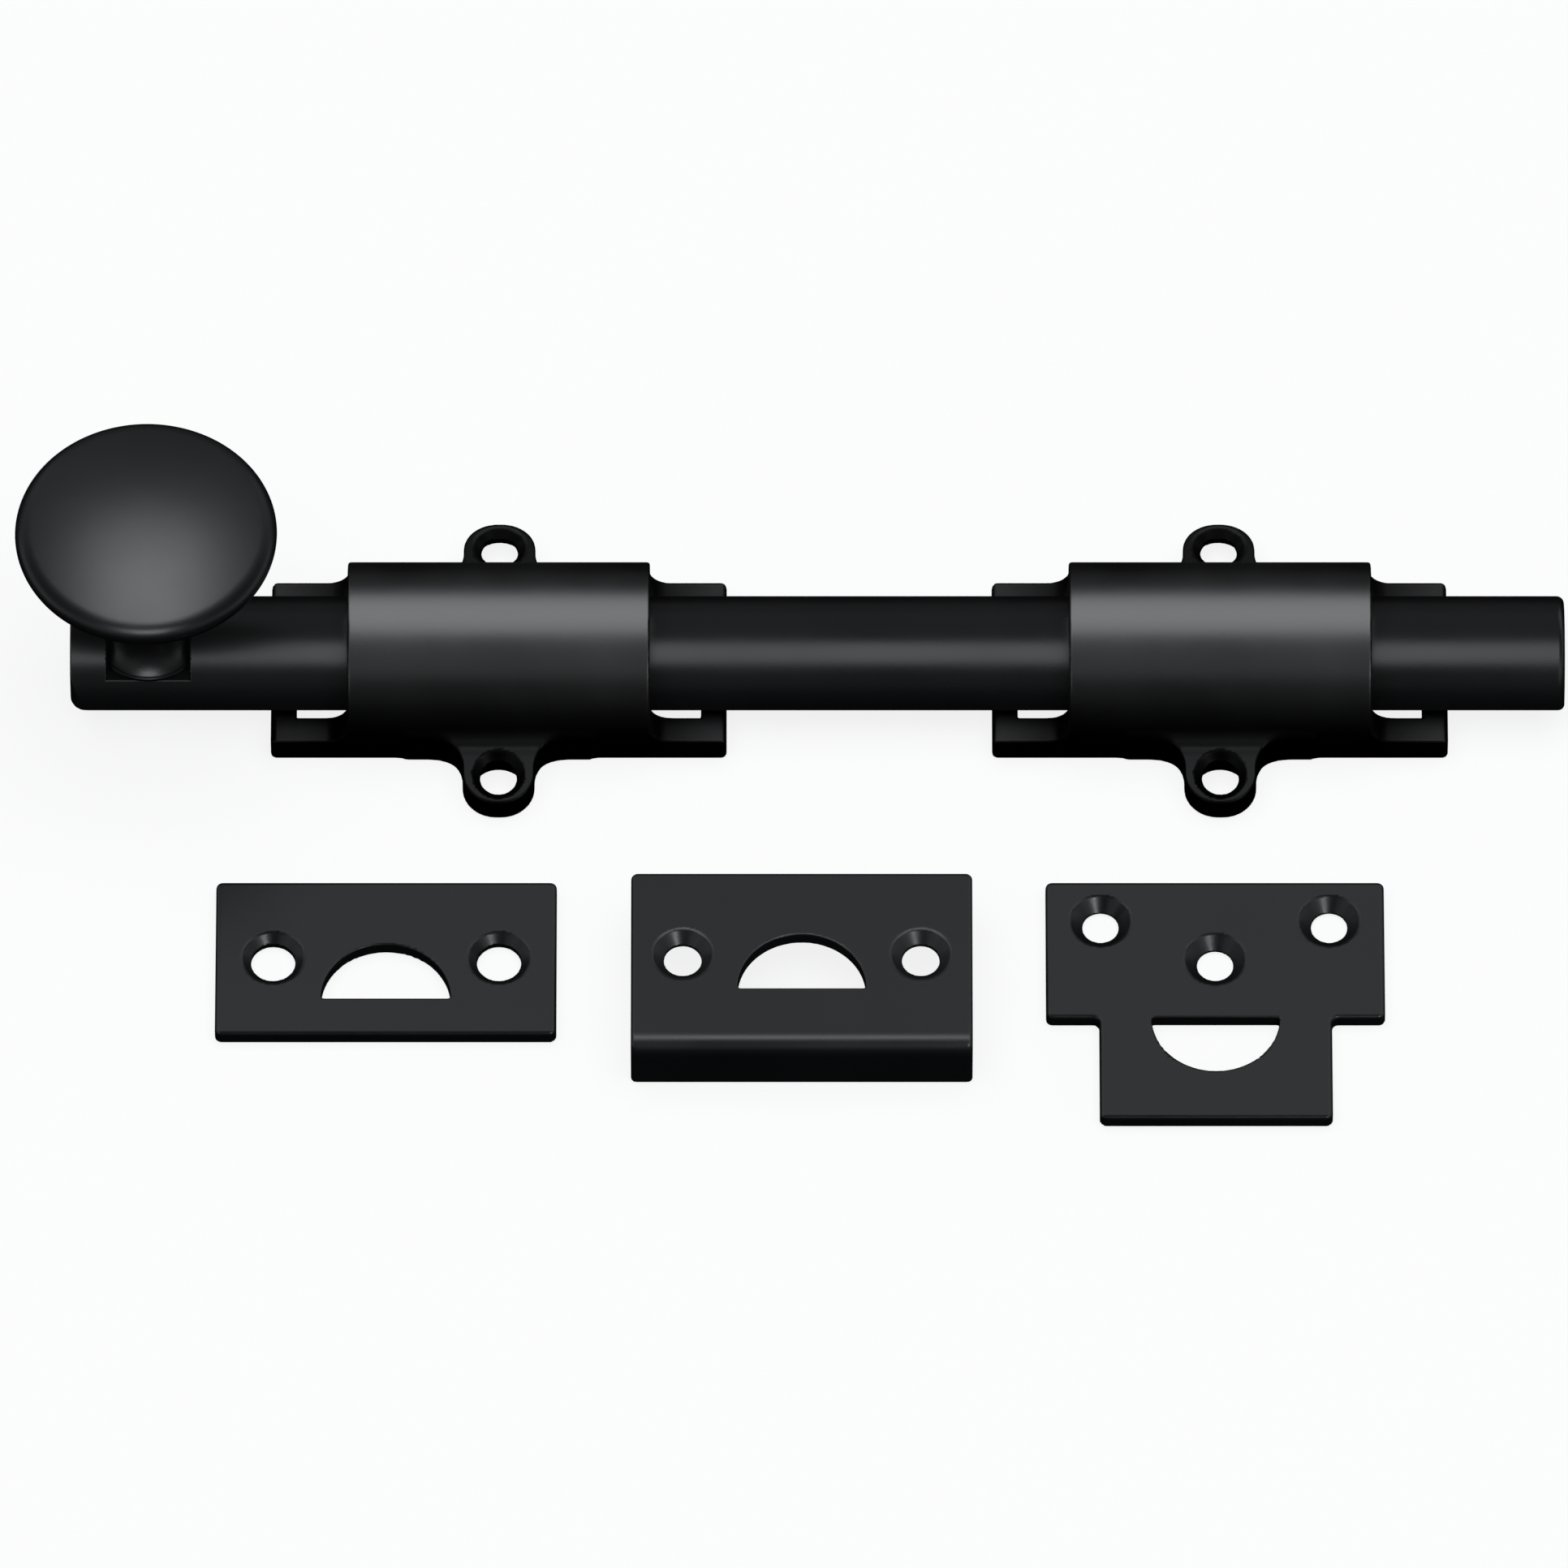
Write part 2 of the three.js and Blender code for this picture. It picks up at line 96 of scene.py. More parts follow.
LUG_RECESS = (3.5, 2.3)  # radius and depth of the hollow in the lug's back
LUG_ROOT_SINK = 0.5  # how far the lug's root reaches into the tunnel's wall
LUG_ROOT_SPREAD = 2.0  # how far the root reaches past the flare on each side

SADDLE_X = BAR_LOW[0] + 10.65
SADDLE_HALF = 11.33 / 2
SADDLE_FLAT = 9.6

KNOB_LOW, KNOB_HIGH = node_box("knob")
FOOT_RADIUS = 7.4
FOOT_HALF = 5.25  # to the flats that fit between the saddle's shoulders
FOOT_EDGE = 0.7  # height of the foot's straight edge
FOOT_ROUND = 0.25
WAIST = (4.4, 16.2)  # radius and height
THROAT = (12.5, 31.6)
RIM_RADIUS = (KNOB_HIGH[1] - KNOB_LOW[1]) / 2
RIM_Z = 34.8
RIM_HALF = 1.9  # half the thickness of the rim
RIM_WIDTH = 3.3  # how far the rim's rounding reaches in over the face
RIM_TURN = math.radians(70)  # where round the rim the dome takes over
FOOT_FLARE = math.radians(34)  # how steeply the neck leaves the foot
SOCKET = (2.3, 21.0)

SCREW_LOW, SCREW_HIGH = node_box("knob_screw")
SCREW_HOLE = (2.3, 4.3)  # the hole and countersink in the bar's back for the knob's screw
SCREW_SHANK = 2.0
SCREW_HEAD = 3.85
SCREW_CONE = 4.0  # radius that the head's cone would reach at its face
SCREW_FACE = BAR_BACK + 0.15  # the head's face, just inside the bar's back
SCREW_FILLET = 0.3  # under the head
SCREW_POINT = 0.4  # rounding of the shank's end
SLOT_HALF = 0.45
SLOT_DEPTH = 0.8
SLOT_EDGE = 0.06

PIN_LOW, PIN_HIGH = node_box("stop_pin")
PIN_X = -78.65
PIN_RADIUS = 1.6
PIN_ROUND = 0.35
PIN_HOLE = (1.9, 9.9)  # radius, and height of the hole's end

CAST_EDGE = 0.4  # rounding of the guides' outer edges
MACHINED_EDGE = 0.22
PRESSED_EDGE = 0.6

# ---------- Signed distances ----------


def join(a, b, fillet=0.0):
    """Either shape, with a fillet where they meet."""
    if not fillet:
        return np.minimum(a, b)
    u = np.maximum(fillet - a, 0)
    v = np.maximum(fillet - b, 0)
    return np.maximum(fillet, np.minimum(a, b)) - np.hypot(u, v)


def common(a, b, edge=0.0):
    """What lies in both shapes, with a rounded edge where they meet."""
    return -join(-a, -b, edge)


def remove(a, b, edge=0.0):
    return common(a, -b, edge)


def rectangle(x, y, half_x, half_y, corner):
    """A flat rectangle about the origin with round corners."""
    u = np.abs(x) - half_x + corner
    v = np.abs(y) - half_y + corner
    outside = np.hypot(np.maximum(u, 0), np.maximum(v, 0))
    return outside + np.minimum(np.maximum(u, v), 0) - corner


def arch(y, z, radius):
    """Upright sides closed over by a half circle centred on the bar's back."""
    round_part = np.hypot(y, z - BAR_BACK) - radius
    return np.where(z > BAR_BACK, round_part, np.abs(y) - radius)


def screw_hole(across, along, hole, sink):
    """A countersunk hole, by the distance from its axis and the height above its mouth."""
    cone = (across - sink - along) * math.sqrt(0.5)
    return np.minimum(across - hole, np.maximum(cone, across - sink))


# ---------- Meshing ----------


GRID_GROWTH = 0.3  # how fast the grid opens out away from a feature
GRID_REACH = 4  # fine steps on each side of a feature
GRID_MARGIN = 2.37  # fine steps before the first face, and not a whole number, so no plane lies on a face


def grid_line(low, high, coarse, fine, features):
    """Grid planes from low to high: fine near each feature, opening out to coarse between them."""
    reach = GRID_REACH * fine
    value = low - GRID_MARGIN * fine
    line = [value]
    while value < high + 2 * fine:
        gap = min(abs(value - place) for place in features)
        step = min(coarse, fine + GRID_GROWTH * max(0.0, gap - reach))
        ahead = [place - value for place in features if place > value]
        if ahead and min(ahead) - reach > 0:
            step = min(step, max(fine, (min(ahead) - reach) * 0.5))
        value += step
        line.append(value)
    return np.array(line)


def net(distance, lines):
    """Closed quad mesh of distance = 0: one vertex in each grid cell that the surface passes through."""
    x, y, z = np.meshgrid(*lines, indexing="ij")
    value = distance(x, y, z)
    inside = value < 0
    shape = [n - 1 for n in inside.shape]
    corners = [(i, j, k) for i in (0, 1) for j in (0, 1) for k in (0, 1)]

    def corner(array, c):
        return array[tuple(slice(o, o + n) for o, n in zip(c, shape))]

    count = sum(corner(inside, c).astype(np.int8) for c in corners)
    mixed = (count > 0) & (count < 8)
    index = np.full(shape, -1)
    index[mixed] = np.arange(mixed.sum())

    total = np.zeros((mixed.sum(), 3))
    crossings = np.zeros(mixed.sum())
    places = {c: np.stack([corner(a, c)[mixed] for a in (x, y, z)], 1) for c in corners}
    values = {c: corner(value, c)[mixed] for c in corners}
    for c in corners:
        for axis in range(3):
            if c[axis]:
                continue
            d = tuple(1 if i == axis else v for i, v in enumerate(c))
            crossed = (values[c] < 0) != (values[d] < 0)
            share = np.where(crossed, values[c] / np.where(crossed, values[c] - values[d], 1), 0)
            at = places[c] + (places[d] - places[c]) * share[:, None]
            total += np.where(crossed[:, None], at, 0)
            crossings += crossed
    points = total / crossings[:, None]

    faces = []
    for axis in range(3):
        order = (axis, (axis + 1) % 3, (axis + 2) % 3)
        solid = np.transpose(inside, order)
        cells = np.transpose(index, order)
        crossed = (solid[:-1] != solid[1:])[:, 1:-1, 1:-1]
        i, j, k = np.nonzero(crossed)
        ring = ((0, 0), (1, 0), (1, 1), (0, 1))
        quads = np.stack([cells[i, j + a, k + b] for a, b in ring], 1)
        leaves = solid[:-1][:, 1:-1, 1:-1][i, j, k]
        quads[~leaves] = quads[~leaves][:, ::-1]
        faces.append(quads)
    return points, np.concatenate(faces)


def slopes(distance, points, step=0.01):
    """Gradient of the distance at each point."""
    parts = []
    for axis in range(3):
        offset = np.zeros(3)
        offset[axis] = step
        ahead = distance(*(points + offset).T)
        behind = distance(*(points - offset).T)
        parts.append((ahead - behind) / (2 * step))
    return np.stack(parts, 1)


SETTLING_ROUNDS = 4
LEAST_SLOPE = 0.2  # squared, where two surfaces cancel out
LONGEST_MOVE = 0.3
TINY = 1e-9


def settled(distance, points):
    """The points moved onto the surface, and the surface's normals there."""
    for _ in range(SETTLING_ROUNDS):
        slope = slopes(distance, points)
        length = np.maximum((slope**2).sum(1), LEAST_SLOPE)
        move = -(distance(*points.T) / length)[:, None] * slope
        size = np.linalg.norm(move, axis=1, keepdims=True)
        points = points + move * np.minimum(1, LONGEST_MOVE / np.maximum(size, TINY))
    normal = slopes(distance, points)
    return points, normal / np.maximum(np.linalg.norm(normal, axis=1, keepdims=True), TINY)


def new_object(name, mesh):
    obj = bpy.data.objects.new(name, mesh)
    bpy.context.scene.collection.objects.link(obj)
    return obj


def shape_mesh(name, distance, low, high, features, coarse, fine):
    """Mesh of a signed distance, in metres, with the distance's own normals."""
    lines = [grid_line(low[i], high[i], coarse, fine, features[i]) for i in range(3)]
    points, faces = net(distance, lines)
    points, normals = settled(distance, points)
    mesh = bpy.data.meshes.new(name)
    mesh.from_pydata((points * MM).tolist(), [], faces.tolist())
    mesh.validate()
    mesh.polygons.foreach_set("use_smooth", [True] * len(mesh.polygons))
    mesh.normals_split_custom_set_from_vertices(normals.tolist())
    return mesh


pieces = {}  # the finished piece of each CAD node


def place(name, mesh, material, body, node, slot, at=(0, 0, 0)):
    """Stands a mesh in for a CAD node: at is its place in millimetres."""
    obj = new_object(name, mesh)
    obj.location = Vector(at) * MM
    obj.data.materials.append(material)
    bpy.context.view_layer.update()
    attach(obj, body)
    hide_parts(node)
    pieces[node] = obj


# ---------- Materials ----------


class Nodes:
    """A material's node tree, with short calls for the nodes used here."""

    def __init__(self, name):
        self.material = bpy.data.materials.new(name)
        self.material.use_nodes = True
        self.tree = self.material.node_tree
        self.shader = self.tree.nodes["Principled BSDF"]

    def add(self, kind, **inputs):
        node = self.tree.nodes.new(kind)
        for key, value in inputs.items():
            if isinstance(value, bpy.types.NodeSocket):
                self.tree.links.new(value, node.inputs[key])
            else:
                node.inputs[key].default_value = value
        return node

    def set(self, **inputs):
        for key, value in inputs.items():
            self.shader.inputs[key.replace("_", " ")].default_value = value

    def link(self, output, socket):
        self.tree.links.new(output, self.shader.inputs[socket])

    def math(self, operation, *values):
        node = self.tree.nodes.new("ShaderNodeMath")
        node.operation = operation
        for socket, value in zip(node.inputs, values):
            if isinstance(value, bpy.types.NodeSocket):
                self.tree.links.new(value, socket)
            else:
                socket.default_value = value
        return node.outputs[0]

    def spread(self, value, low, high, start=0.0, end=1.0):
        node = self.add("ShaderNodeMapRange", Value=value)
        node.inputs["From Min"].default_value = start
        node.inputs["From Max"].default_value = end
        node.inputs["To Min"].default_value = low
        node.inputs["To Max"].default_value = high
        return node.outputs["Result"]


NOISE = (0.3, 0.7)  # the range that a noise texture's values mostly lie in
DEPTH_CHANGE = 0.14  # slow change in the coat's depth of colour
GLOSS_CHANGE = 0.03  # slow change in its roughness


def black_coat(name, tint, roughness, specular=0.5, metallic=0.0, shade=None):
    """Satin black coat: a fine orange peel, and slow changes in gloss and depth of colour. A painted shade,
    if given, darkens the colour.
    """
    nodes = Nodes(name)
    position = nodes.add("ShaderNodeTexCoord").outputs["Object"]
    cloud = nodes.add("ShaderNodeTexNoise", Vector=position, Scale=60.0, Detail=3.0)
    peel = nodes.add("ShaderNodeTexNoise", Vector=position, Scale=1500.0, Detail=2.0)
    grain = nodes.add("ShaderNodeTexNoise", Vector=position, Scale=6000.0, Detail=1.0)

    slow = cloud.outputs["Fac"]
    depth = nodes.spread(slow, 1 - DEPTH_CHANGE, 1 + DEPTH_CHANGE)
    # Painted shade: the mask, where given, darkens the coat's colour.
    if shade:
        depth = nodes.math("MULTIPLY", depth, shade(nodes, position))
    colour = nodes.tree.nodes.new("ShaderNodeVectorMath")
    colour.operation = "SCALE"
    colour.inputs[0].default_value = tint
    nodes.tree.links.new(depth, colour.inputs["Scale"])
    nodes.link(colour.outputs["Vector"], "Base Color")
    gloss = nodes.spread(slow, roughness - GLOSS_CHANGE, roughness + GLOSS_CHANGE, *NOISE)
    nodes.link(gloss, "Roughness")

    height = nodes.math("ADD", nodes.math("MULTIPLY", grain.outputs["Fac"], 0.35), peel.outputs["Fac"])
    bump = nodes.add("ShaderNodeBump", Height=height, Strength=0.10, Distance=0.00006)
    nodes.link(bump.outputs["Normal"], "Normal")
    nodes.set(Metallic=metallic, Specular_IOR_Level=specular)
    return nodes.material


ROOT_SHADE = 0.02  # painted shade: share of the coat's reflection left where a flange or lug meets the tunnel
FLANGE_END_SHADE = 0.16
LUG_TIP_SHADE = 0.12
FLANGE_FADE = 9.0  # millimetres over which the painted shade on a flange lightens away from the tunnel
LUG_FADE = 3.0
TUNNEL_RISE = (0.6, 4.0)  # heights over the flange between which the painted shade gives way to the tunnel's full coat


def painted_flange_shade(nodes, position):
    """Painted shade for the guide's coat: full depth on the tunnel, and much darker on its flanges and
    lugs, darkest where they meet the tunnel.
    """
    apart = nodes.add("ShaderNodeSeparateXYZ", Vector=position)
    x = nodes.math("ABSOLUTE", apart.outputs["X"])
    y = nodes.math("ABSOLUTE", apart.outputs["Y"])
    flange_end = (TUNNEL_HALF + FLANGE_FADE) * MM
    lug_end = (TUNNEL_RADIUS + LUG_FADE) * MM
    on_flange = nodes.spread(x, ROOT_SHADE, FLANGE_END_SHADE, TUNNEL_HALF * MM, flange_end)
    on_lug = nodes.spread(y, ROOT_SHADE, LUG_TIP_SHADE, TUNNEL_RADIUS * MM, lug_end)
    flat = nodes.math("MAXIMUM", on_flange, on_lug)
    rise = [(FLANGE_TOP + height) * MM for height in TUNNEL_RISE]
    raised = nodes.spread(apart.outputs["Z"], ROOT_SHADE, 1.0, *rise)
    return nodes.math("MAXIMUM", flat, raised)


def turned_steel(name, tint, roughness, lines):
    """Bare steel with fine tool lines: lines is how the noise is stretched along each axis."""
    nodes = Nodes(name)
    position = nodes.add("ShaderNodeTexCoord").outputs["Object"]
    stretch = nodes.add("ShaderNodeMapping", Vector=position, Scale=lines)
    marks = nodes.add("ShaderNodeTexNoise", Vector=stretch.outputs["Vector"], Scale=1.0, Detail=4.0)
    nodes.set(Base_Color=(*tint, 1), Metallic=1.0)
    smoothest, roughest = roughness - 0.08, roughness + 0.12
    nodes.link(nodes.spread(marks.outputs["Fac"], smoothest, roughest, *NOISE), "Roughness")
    bump = nodes.add("ShaderNodeBump", Height=marks.outputs["Fac"], Strength=0.25, Distance=0.00003)
    nodes.link(bump.outputs["Normal"], "Normal")
    return nodes.material


BOLT_BLACK = black_coat("bolt_black", (0.0050, 0.0052, 0.0056), 0.34, 0.42)
# Painted shade darkens the guides' coat on its flanges and lugs, most where they meet the tunnel.
GUIDE_BLACK = black_coat("guide_black", (0.0400, 0.0402, 0.0405), 0.36, metallic=1.0, shade=painted_flange_shade)
STRIKE_BLACK = black_coat("strike_black", (0.0066, 0.0070, 0.0076), 0.33, 0.40)
PLAIN_STEEL = turned_steel("plain_steel", (0.52, 0.53, 0.54), 0.32, (300.0, 300.0, 9000.0))
SPRING_STEEL = turned_steel("spring_steel", (0.30, 0.32, 0.37), 0.34, (400.0, 9000.0, 400.0))

# ---------- Camera, lights and background ----------

PHOTO_WIDTH = 0.2132  # how much of the mounting plane the photograph is wide
LENS, SENSOR = 800.0, 36.0
DISTANCE = PHOTO_WIDTH * LENS / SENSOR
ELEVATION = math.radians(56)
AZIMUTH = 0.0
TARGET = Vector((-0.0886, -0.0174, 0.0))


def direction(azimuth, elevation):
    """Unit vector towards a camera or light: azimuth 0 is the -Y side."""
    level = math.cos(elevation)
    return Vector((math.sin(azimuth) * level, -math.cos(azimuth) * level, math.sin(elevation)))


def aim(obj, target):
    obj.rotation_euler = (target - obj.location).to_track_quat("-Z", "Y").to_euler()


camera = new_object("camera", bpy.data.cameras.new("camera"))
camera.data.lens = LENS
camera.data.sensor_width = SENSOR
camera.data.clip_end = 20
camera.location = TARGET + direction(AZIMUTH, ELEVATION) * DISTANCE
aim(camera, TARGET)
bpy.context.scene.camera = camera


def panel(name, azimuth, elevation, distance, size, radiance, x=None):
    """A soft rectangular light: size is (along X, across), in metres. It may be centred on another X."""
    data = bpy.data.lights.new(name, "AREA")
    data.shape = "RECTANGLE"
    data.size, data.size_y = size
    data.energy = radiance * math.pi * size[0] * size[1]
    data.color = (0.95, 0.97, 1.0)
    light = new_object(name, data)
    light.visible_camera = False
    middle = Vector((TARGET.x if x is None else x, TARGET.y, 0))
    light.location = middle + direction(math.radians(azimuth), math.radians(elevation)) * distance
    aim(light, middle)
    return light


def shine_on(light, objects):
    """Keeps a light to some of the pieces, as the photograph is put together from pictures lit apart."""
    group = bpy.data.collections.new(light.name + "_on")
    for obj in objects:
        group.objects.link(obj)
    light.light_linking.receiver_collection = group


FLOOR_HALF = 1.4  # the floor ends inside the ring of panels, so all of it is lit alike
FLOOR_GAP = 0.0002
FLOOR_GLOW = 0.84  # the floor's own light keeps it pale under lights as dim as these

floor_mesh = bpy.data.meshes.new("floor")
floor_corners = [(x * FLOOR_HALF, y * FLOOR_HALF, 0) for x, y in ((-1, -1), (1, -1), (1, 1), (-1, 1))]
floor_mesh.from_pydata(floor_corners, [], [(0, 1, 2, 3)])
floor = new_object("floor", floor_mesh)
floor.location = (TARGET.x, TARGET.y, cad_low.z - FLOOR_GAP)
floor_nodes = Nodes("floor_white")
floor_nodes.set(Base_Color=(0.5, 0.5, 0.5, 1), Roughness=1.0, Specular_IOR_Level=0.0)
floor_nodes.set(Emission_Color=(1, 1, 1, 1), Emission_Strength=FLOOR_GLOW)
floor.data.materials.append(floor_nodes.material)
floor.visible_glossy = False
floor.visible_diffuse = False

world = bpy.context.scene.world or bpy.data.worlds.new("world")
bpy.context.scene.world = world
world.use_nodes = True
world.node_tree.nodes["Background"].inputs["Color"].default_value = (1, 1, 1, 1)
world.node_tree.nodes["Background"].inputs["Strength"].default_value = 1.0
world.cycles_visibility.glossy = False
world.cycles_visibility.diffuse = False
bpy.context.scene.view_settings.view_transform = "Standard"

# ---------- Guides ----------


def guide(x, y, z):
    """The casting, centred on X = 0 and standing on Z = 0."""
    envelope = arch(y, z, TUNNEL_RADIUS)
    steps = join(z - FLANGE_TOP, np.abs(x) - TUNNEL_HALF, END_FILLET)
    body = common(envelope, steps, CAST_EDGE)
    body = common(body, np.abs(x) - GUIDE_HALF_LENGTH, 2 * CAST_EDGE)

    face = (z - LUG_FACE + (np.abs(y) - LUG_SCREW_Y) * math.tan(LUG_SLOPE)) * math.cos(LUG_SLOPE)
    tongue = rectangle(x, y, LUG_HALF_WIDTH, LUG_TIP, LUG_CORNER)
    root_half = LUG_HALF_WIDTH + LUG_FLARE + LUG_ROOT_SPREAD
    root = np.maximum(np.abs(y) - TUNNEL_RADIUS + LUG_ROOT_SINK, np.abs(x) - root_half)
    lugs = common(join(tongue, root, LUG_FLARE), face, CAST_EDGE)
    body = join(body, lugs, LUG_WALL_FILLET)
    body = common(body, -z, CAST_EDGE / 2)

    channel = np.maximum(arch(y, z, BORE_RADIUS), np.abs(x) - CHANNEL_HALF)
    body = remove(body, channel, MACHINED_EDGE)

    out = np.abs(y) - LUG_SCREW_Y
    up = z - LUG_FACE
    along = out * math.sin(LUG_SLOPE) + up * math.cos(LUG_SLOPE)
    tilted = out * math.cos(LUG_SLOPE) - up * math.sin(LUG_SLOPE)
    body = remove(body, screw_hole(np.hypot(x, tilted), along, *LUG_SCREW), MACHINED_EDGE)
    recess = np.maximum(np.hypot(x, out) - LUG_RECESS[0], z - LUG_RECESS[1])
    return remove(body, recess, MACHINED_EDGE)


def around(middle, *values):
    """Places at each distance on both sides of a middle."""
    return [middle + side * value for value in values for side in (-1, 1)]


def both_ways(*values):
    return around(0, *values)


# Where the guide's grid is fine, besides at its faces: over the lugs, their flares and their holes.
LUG_FINE_X = (9.0, 6.5, 4.4, 3.0)
LUG_FINE_Y = (15.2, LUG_SCREW_Y + 2.6)


def add_guides():
    low = (-GUIDE_HALF_LENGTH, -LUG_TIP, 0)
    high = (GUIDE_HALF_LENGTH, LUG_TIP, GUIDE_HIGH[2])
    features = (
        both_ways(GUIDE_HALF_LENGTH, CHANNEL_HALF, TUNNEL_HALF, *LUG_FINE_X),
        both_ways(LUG_TIP, *LUG_FINE_Y, TUNNEL_RADIUS, BORE_RADIUS),
        [0, FLANGE_TOP, BAR_BACK + 0.8, BAR_BACK],
    )
    mesh = shape_mesh("guide", guide, low, high, features, 0.9, 0.28)
    for node in ("front_guide", "rear_guide"):
        node_low, node_high = node_box(node)
        at = ((node_low[0] + node_high[0]) / 2, 0, 0)
        place(node + "_casting", mesh.copy(), GUIDE_BLACK, "root", node, "guide_black", at)


# ---------- Bolt ----------

BAR_CHAMFER = 1.0
TAIL_CORNER = 2.3
BAR_FINE = (4.0, 2.3)  # the grid is fine over the screw's hole and countersink


def bar(x, y, z):
    """The half-round bar, in the part's own frame."""
    across = np.hypot(y, z - BAR_BACK)
    body = common(across - BAR_RADIUS, x - BAR_HIGH[0], BAR_CHAMFER)
    # The tail's corners are round from the front. The plan runs on past the tip, which stays square.
    middle = (BAR_LOW[0] + BAR_HIGH[0]) / 2 + TAIL_CORNER
    plan = rectangle(x - middle, y, middle - BAR_LOW[0], BAR_RADIUS, TAIL_CORNER)
    body = common(body, plan, MACHINED_EDGE)
    body = common(body, BAR_BACK - z, MACHINED_EDGE)
    notch = np.maximum(np.abs(x - SADDLE_X) - SADDLE_HALF, SADDLE_FLAT - z)
    body = remove(body, notch, MACHINED_EDGE / 2)
    screw_path = screw_hole(np.hypot(x - SADDLE_X, y), BAR_BACK - z, *SCREW_HOLE)
    body = remove(body, screw_path, MACHINED_EDGE / 2)
    pin_path = np.maximum(np.hypot(x - PIN_X, y) - PIN_HOLE[0], z - PIN_HOLE[1])
    return remove(body, pin_path, MACHINED_EDGE / 2)


def add_bar():
    over_saddle = around(SADDLE_X, SADDLE_HALF, *BAR_FINE)
    features = (
        [BAR_LOW[0], BAR_HIGH[0], *over_saddle, *around(PIN_X, PIN_HOLE[0], 1.0)],
        both_ways(BAR_RADIUS, *BAR_FINE),
        [BAR_BACK, SADDLE_FLAT, BAR_HIGH[2]],
    )
    mesh = shape_mesh("bar", bar, BAR_LOW, BAR_HIGH, features, 1.6, 0.22)
    place("bar_half_round", mesh, BOLT_BLACK, "bolt", "bolt_bar", "bolt_black")


def knob_outline():
    """The knob's outline as (radius, height): down the socket, out over the foot and up to the crown."""
    foot = KNOB_LOW[2]
    neck_foot = foot + FOOT_EDGE
    outer = FOOT_RADIUS - FOOT_ROUND
    corner = np.linspace(0, math.pi / 2, 5)
    upper_corner = np.linspace(0, math.pi / 2, 5)[:-1]
    opening = np.linspace(0, math.pi / 2, 25)[1:]
    share = np.linspace(0, 1, 8)[1:-1]
    flare = np.linspace(FOOT_FLARE, math.pi / 2, 25)
    under = np.linspace(-math.pi / 2, 0, 12)
    over = np.linspace(0, RIM_TURN, 18)[1:]
    rim_middle = RIM_RADIUS - RIM_HALF
    # The rounding's height is such that the dome leaves it at the same slope and ends at the crown.
    dome_radius = RIM_RADIUS - RIM_WIDTH * (1 - math.cos(RIM_TURN))
    lift = dome_radius / (2 * RIM_WIDTH * math.tan(RIM_TURN))
    rounding = (KNOB_HIGH[2] - RIM_Z) / (math.sin(RIM_TURN) + lift)
    dome = np.linspace(1, 0, 22)[1:]

    runs = [
        (
            [0, 1.2, SOCKET[0] - 0.05, SOCKET[0], SOCKET[0]],
            [SOCKET[1]] * 3 + [SOCKET[1] - 0.05, foot + 0.15],
        ),
        ([SOCKET[0] + 0.15, 3.4, 4.6, 5.8, outer - 0.1], [foot] * 5),
        (outer + FOOT_ROUND * np.sin(corner), foot + FOOT_ROUND * (1 - np.cos(corner))),
        (outer + FOOT_ROUND * np.cos(upper_corner), neck_foot - FOOT_ROUND * (1 - np.sin(upper_corner))),
        (
            outer - (outer - WAIST[0]) * (np.sin(flare) - np.sin(FOOT_FLARE)) / (1 - np.sin(FOOT_FLARE)),
            WAIST[1] - (WAIST[1] - neck_foot) * np.cos(flare) / np.cos(FOOT_FLARE),
        ),
        (
            THROAT[0] - (THROAT[0] - WAIST[0]) * np.cos(opening),
            WAIST[1] + (THROAT[1] - WAIST[1]) * np.sin(opening),
        ),
        (
            THROAT[0] + (rim_middle - THROAT[0]) * share,
            THROAT[1] + (RIM_Z - RIM_HALF - THROAT[1]) * share**2 * (3 - 2 * share),
        ),
        (rim_middle + RIM_HALF * np.cos(under), RIM_Z + RIM_HALF * np.sin(under)),
        (RIM_RADIUS - RIM_WIDTH * (1 - np.cos(over)), RIM_Z + rounding * np.sin(over)),
        (dome_radius * dome, KNOB_HIGH[2] - rounding * lift * dome**2),
    ]
    return np.concatenate([np.stack([np.asarray(r, float), np.asarray(z, float)], 1) for r, z in runs])


KNOB_STEPS = 144


def lathe(outline, steps):
    """Points and faces of an outline turned about Z: its first and last points lie on the axis."""
    angle = 2 * math.pi * np.arange(steps) / steps
    rings = outline[1:-1]
    x = rings[:, :1] * np.cos(angle)
    y = rings[:, :1] * np.sin(angle)
    z = np.repeat(rings[:, 1:], steps, 1)
    points = np.stack([x, y, z], 2).reshape(-1, 3)
    points = np.concatenate([points, [[0, 0, outline[0, 1]], [0, 0, outline[-1, 1]]]])
    start, end = len(points) - 2, len(points) - 1
    last = (len(rings) - 1) * steps
    faces = []
    for i in range(steps):
        j = (i + 1) % steps
        faces.append((start, j, i))
        faces.append((end, last + i, last + j))
        for ring in range(len(rings) - 1):
            a = ring * steps
            faces.append((a + i, a + j, a + steps + j, a + steps + i))
    return points, faces


def plain_mesh(name, points, faces):
    """A smooth mesh, in metres, from points in millimetres."""
    mesh = bpy.data.meshes.new(name)
    mesh.from_pydata((np.asarray(points) * MM).tolist(), [], faces)
    mesh.validate()
    mesh.polygons.foreach_set("use_smooth", [True] * len(mesh.polygons))
    return mesh


